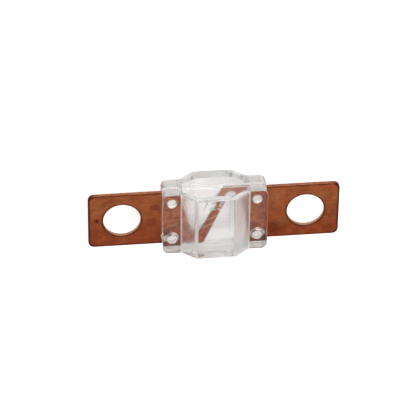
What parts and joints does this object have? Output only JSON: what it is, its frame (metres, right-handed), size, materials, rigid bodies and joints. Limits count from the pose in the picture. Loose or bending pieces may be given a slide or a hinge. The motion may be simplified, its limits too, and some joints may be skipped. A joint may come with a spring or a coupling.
{
  "type": "bolt down strip fuse",
  "caption": "Bolt down strip fuse: a flat copper strip with a stud hole in each blade and a slanted fusing strap seen through a clear plastic housing.",
  "frame": {"origin": "middle of the strip, in its mid plane, where the two half covers meet", "axes": "+X along the strip from one stud hole to the other, +Y across the strip, +Z along the studs, out of the upper cover"},
  "size_m": [0.041, 0.0116, 0.0084],
  "materials": {
    "copper": "satin",
    "clear_plastic": "gloss"
  },
  "bodies": {
    "root": {"fuse_strip": "copper", "upper_cover": "clear_plastic", "lower_cover": "clear_plastic"}
  },
  "joints": []
}
